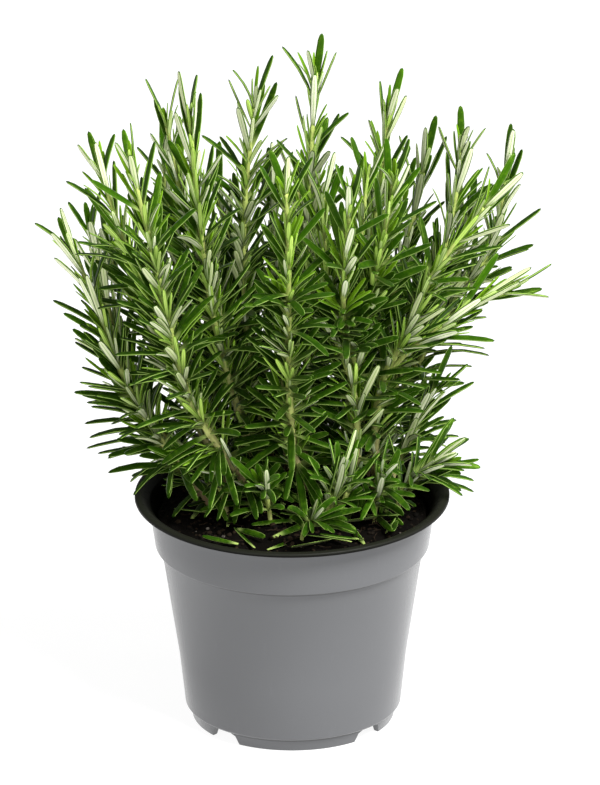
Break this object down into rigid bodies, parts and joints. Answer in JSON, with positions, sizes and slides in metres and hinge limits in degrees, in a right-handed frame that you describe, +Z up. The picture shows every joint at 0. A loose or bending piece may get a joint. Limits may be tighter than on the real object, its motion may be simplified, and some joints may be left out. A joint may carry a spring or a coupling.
{
  "type": "potted rosemary plant",
  "caption": "Bushy upright rosemary with needle leaves, standing in dark soil in a grey plastic nursery pot with a banded rim and a notched foot ring.",
  "frame": {"origin": "on the floor under the middle of the plant, on the pot's axis", "axes": "+Z up, -Y towards the viewer of the picture, +X to the viewer's right"},
  "size_m": [0.2126, 0.1452, 0.2988],
  "materials": {
    "pot_plastic": "satin grey outside, near-black inside and on the lip",
    "soil": "rough dark peat",
    "rosemary": "glossy dark green needles, paler beneath, on yellow-green to brown stems"
  },
  "bodies": {
    "root": {"pot": "pot_plastic", "soil": "soil", "stem_01": "rosemary", "stem_02": "rosemary", "stem_03": "rosemary", "stem_04": "rosemary", "stem_05": "rosemary", "stem_06": "rosemary", "stem_07": "rosemary", "stem_08": "rosemary", "stem_09": "rosemary", "stem_10": "rosemary", "stem_11": "rosemary", "stem_12": "rosemary", "stem_13": "rosemary", "stem_14": "rosemary", "stem_15": "rosemary", "stem_16": "rosemary", "stem_17": "rosemary", "stem_18": "rosemary", "stem_19": "rosemary", "stem_20": "rosemary", "stem_21": "rosemary", "stem_22": "rosemary", "stem_23": "rosemary", "stem_24": "rosemary", "stem_25": "rosemary", "stem_26": "rosemary", "stem_27": "rosemary", "stem_28": "rosemary", "stem_29": "rosemary", "stem_30": "rosemary", "stem_31": "rosemary", "stem_32": "rosemary"}
  },
  "joints": []
}
